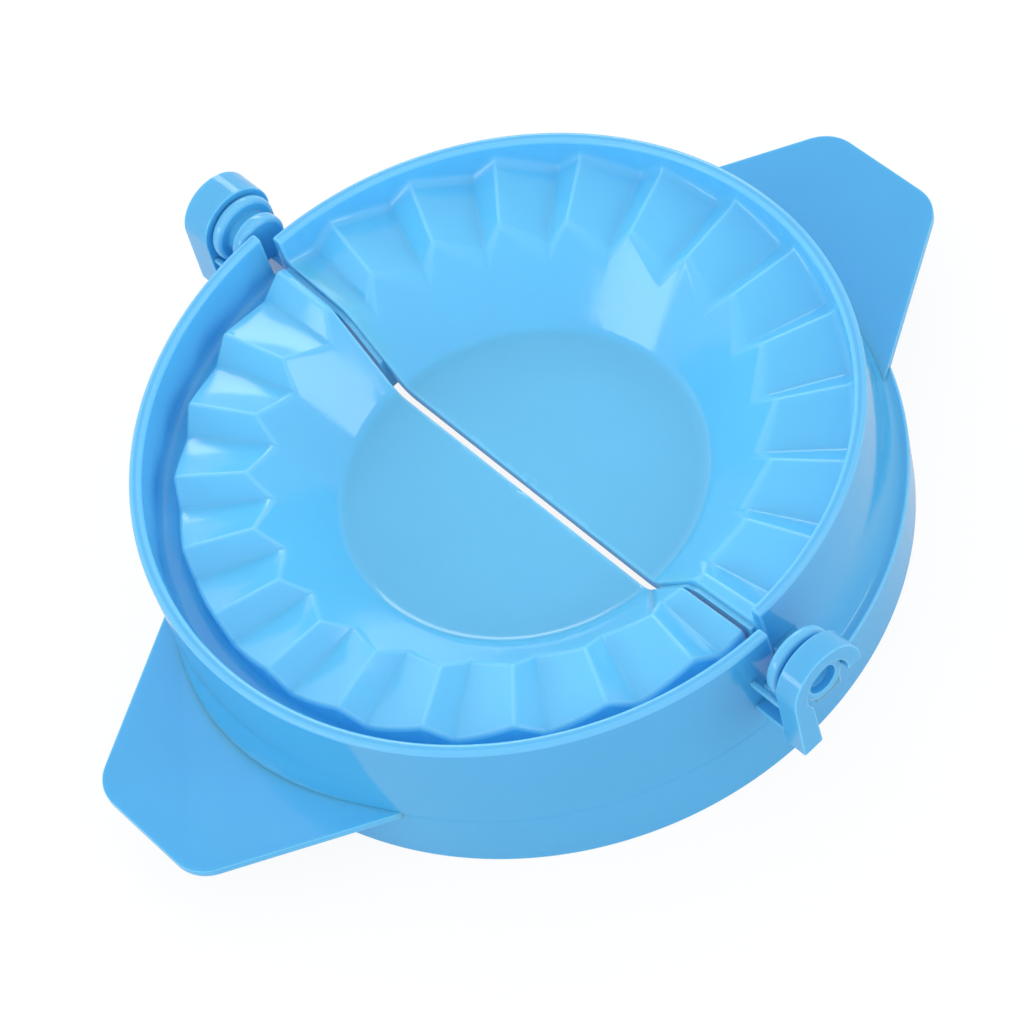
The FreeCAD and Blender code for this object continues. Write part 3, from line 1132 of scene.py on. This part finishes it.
@dataclass(frozen=True)
class SoftBox:
    """Rectangular studio light that points at the press."""

    name: str
    azimuth: float
    elevation: float
    wide: float
    tall: float
    radiance: float
    distance: float = 1.2

    def build(self) -> None:
        """Makes the light."""
        light = bpy.data.lights.new(self.name, "AREA")
        light.shape = "RECTANGLE"
        light.size = 2 * self.distance * math.tan(math.radians(self.wide / 2))
        light.size_y = 2 * self.distance * math.tan(math.radians(self.tall / 2))
        light.energy = self.radiance * math.pi * light.size * light.size_y
        lamp = bpy.data.objects.new(self.name, light)
        way = direction(self.azimuth, self.elevation)
        lamp.location = way * self.distance
        lamp.rotation_euler = way.to_track_quat("Z", "Y").to_euler()
        bpy.context.scene.collection.objects.link(lamp)


def direction(azimuth: float, elevation: float) -> Vector:
    """Unit direction from the press: azimuth from -Y towards +X, and elevation, in degrees."""
    turn, rise = math.radians(azimuth), math.radians(elevation)
    return Vector((math.sin(turn) * math.cos(rise), -math.cos(turn) * math.cos(rise), math.sin(rise)))


@dataclass(frozen=True)
class Studio:
    """Pale floor, white surround that is brighter at both ends of the hinge, and three softboxes."""

    floor_size: float = 6.0
    floor_colour: Triple = (0.5, 0.5, 0.5)
    floor_glow: float = 0.29
    floor_white: float = 0.8
    floor_rough: float = 0.9
    seen_white: float = 1.05
    surround: tuple[float, float] = (0.84, 1.26)
    bright_line: Triple = (1.0, 0.0, 0.0)
    boxes: tuple[SoftBox, ...] = (
        SoftBox("front_softbox", -9, 21.5, 38, 13, 3.6),
        SoftBox("back_softbox", 128, 26, 26, 9, 3.6),
        SoftBox("left_softbox", -130, 27, 30, 14, 3.6),
    )

    def build(self) -> None:
        """Makes the floor, the surround and the lights."""
        bpy.ops.mesh.primitive_plane_add(size=self.floor_size)
        floor = bpy.context.object
        floor.name = "floor"
        floor.data.materials.append(self.floor_paint())
        bpy.context.scene.world = self.white_surround()
        for box in self.boxes:
            box.build()

    def white_surround(self) -> bpy.types.World:
        """White light from all round, a little stronger from both ends of the bright line.

        Returns:
            The world.
        """
        world = bpy.data.worlds.new("surround")
        world.use_nodes = True
        nodes, links = world.node_tree.nodes, world.node_tree.links
        nodes["Background"].inputs["Color"].default_value = (1, 1, 1, 1)
        place = nodes.new("ShaderNodeTexCoord")
        side = nodes.new("ShaderNodeVectorMath")
        side.operation = "DOT_PRODUCT"
        side.inputs[1].default_value = self.bright_line
        links.new(place.outputs["Generated"], side.inputs[0])
        both = nodes.new("ShaderNodeMath")
        both.operation = "ABSOLUTE"
        links.new(side.outputs["Value"], both.inputs[0])
        strength = scaled(world.node_tree, both.outputs["Value"], *self.surround)
        links.new(strength, nodes["Background"].inputs["Strength"])
        return world

    def floor_paint(self) -> bpy.types.Material:
        """White photo table: seen as nearly pure white, while it lights the press only softly.

        Returns:
            The floor's material.
        """
        paint = bpy.data.materials.new("pale_floor")
        paint.use_nodes = True
        nodes, links = paint.node_tree.nodes, paint.node_tree.links
        table = nodes["Principled BSDF"]
        table.inputs["Base Color"].default_value = (*self.floor_colour, 1)
        table.inputs["Roughness"].default_value = self.floor_rough
        table.inputs["Emission Color"].default_value = (1, 1, 1, 1)
        table.inputs["Emission Strength"].default_value = self.floor_glow
        white = nodes.new("ShaderNodeEmission")
        white.inputs["Strength"].default_value = self.seen_white
        path = nodes.new("ShaderNodeLightPath")
        share = nodes.new("ShaderNodeMath")
        share.operation = "MULTIPLY"
        share.inputs[1].default_value = self.floor_white
        links.new(path.outputs["Is Camera Ray"], share.inputs[0])
        mix = nodes.new("ShaderNodeMixShader")
        links.new(share.outputs["Value"], mix.inputs["Fac"])
        links.new(table.outputs["BSDF"], mix.inputs[1])
        links.new(white.outputs["Emission"], mix.inputs[2])
        links.new(mix.outputs["Shader"], nodes["Material Output"].inputs["Surface"])
        return paint


@dataclass(frozen=True)
class PhotoCamera:
    """Camera at the photograph's viewing angle, sizes in millimetres."""

    aim: Triple = (3.2, -4.45, 12.0)
    azimuth: float = 64.08
    elevation: float = 53.98
    roll: float = 20.53
    distance: float = 437.0
    lens: float = 135.57

    def build(self) -> None:
        """Makes the scene's camera."""
        data = bpy.data.cameras.new("camera")
        data.lens = self.lens
        data.clip_start = 0.01
        camera = bpy.data.objects.new("camera", data)
        back = direction(self.azimuth, self.elevation)
        up = (Vector((0, 0, 1)) - back * back.z).normalized()
        up = Matrix.Rotation(math.radians(-self.roll), 3, back) @ up
        side = up.cross(back)
        turn = Matrix((side, up, back)).transposed().to_4x4()
        place = (Vector(self.aim) + back * self.distance) * MM
        camera.matrix_world = Matrix.Translation(place) @ turn
        bpy.context.scene.collection.objects.link(camera)
        bpy.context.scene.camera = camera


def build_press() -> None:
    """Builds both mouldings and gives them their finish."""
    sizes = PressSizes()
    wing = Wing(sizes)
    finish = SkyPlastic()
    crisp_teeth = TeethPattern(turn=-0.4, spread=1.0235, ridge_blend=0.35, valley_blend=0.5)
    soft_teeth = TeethPattern(turn=0.0, spread=1.0177, ridge_blend=0.5, valley_blend=1.3)
    front = HalfShell(sizes, Half.FRONT, crisp_teeth, split_y=0.85)
    back = HalfShell(sizes, Half.BACK, soft_teeth, split_y=0.2)
    mouldings = (
        Moulding(Half.FRONT, front, wing, (HookBracket(sizes, near_x=48.35, width=4.15),),
                 (HookBracket(sizes, width=3.0),), "front_plastic"),
        Moulding(Half.BACK, back, wing,
                 (PinBracket(sizes, pin_end=50.2), SplitRib(back, 0.0, start_x=22.5)),
                 (PinBracket(sizes, disc_x=46.65, boss_r=3.5), SplitRib(back, math.pi, start_x=24.5)),
                 "back_plastic"),
    )
    for moulding in mouldings:
        moulding.build()
        moulding.dress(finish)


def main() -> None:
    """Builds the press, its finish, the light and the camera."""
    logging.basicConfig(level=logging.INFO, format="%(message)s")
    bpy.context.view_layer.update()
    build_press()
    Studio().build()
    PhotoCamera().build()
    bpy.context.scene.view_settings.view_transform = "Standard"


if __name__ == "__main__":
    main()
